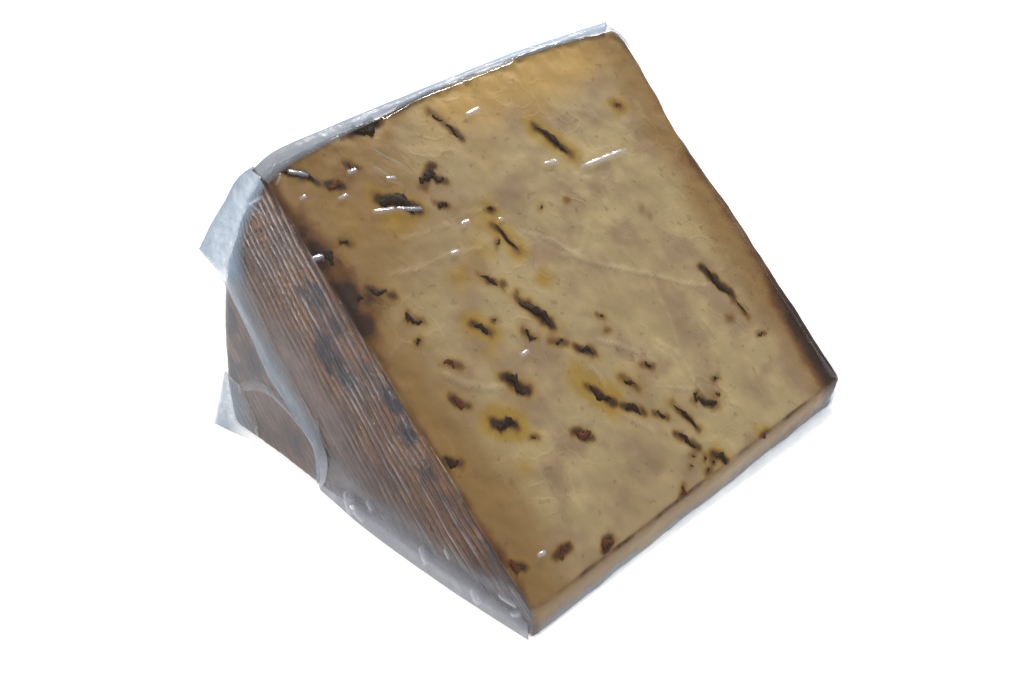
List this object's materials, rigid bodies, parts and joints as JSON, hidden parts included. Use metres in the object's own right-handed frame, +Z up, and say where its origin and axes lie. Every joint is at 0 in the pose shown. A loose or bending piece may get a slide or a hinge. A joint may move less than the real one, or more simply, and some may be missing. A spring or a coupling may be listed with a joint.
{
  "type": "vacuum-packed sheep milk cheese wedge",
  "caption": "Wedge of firm sheep's milk cheese with herbs in the paste and a grooved brown rind, sealed in clear vacuum film.",
  "frame": {"origin": "centre of the underside, the cut face that the wedge lies on", "axes": "+Z up; X along the axis of the cheese wheel, from one flat face to the other; +Y from the blunt tip towards the rind"},
  "size_m": [0.1132, 0.1045, 0.0773],
  "materials": {
    "paste": "firm, slightly waxy cut cheese",
    "rind": "dry grooved brown rind with grey mould",
    "herb": "dark dried herb",
    "film": "clear glossy vacuum film"
  },
  "bodies": {
    "root": {"sealed_wedge": "paste"}
  },
  "joints": []
}
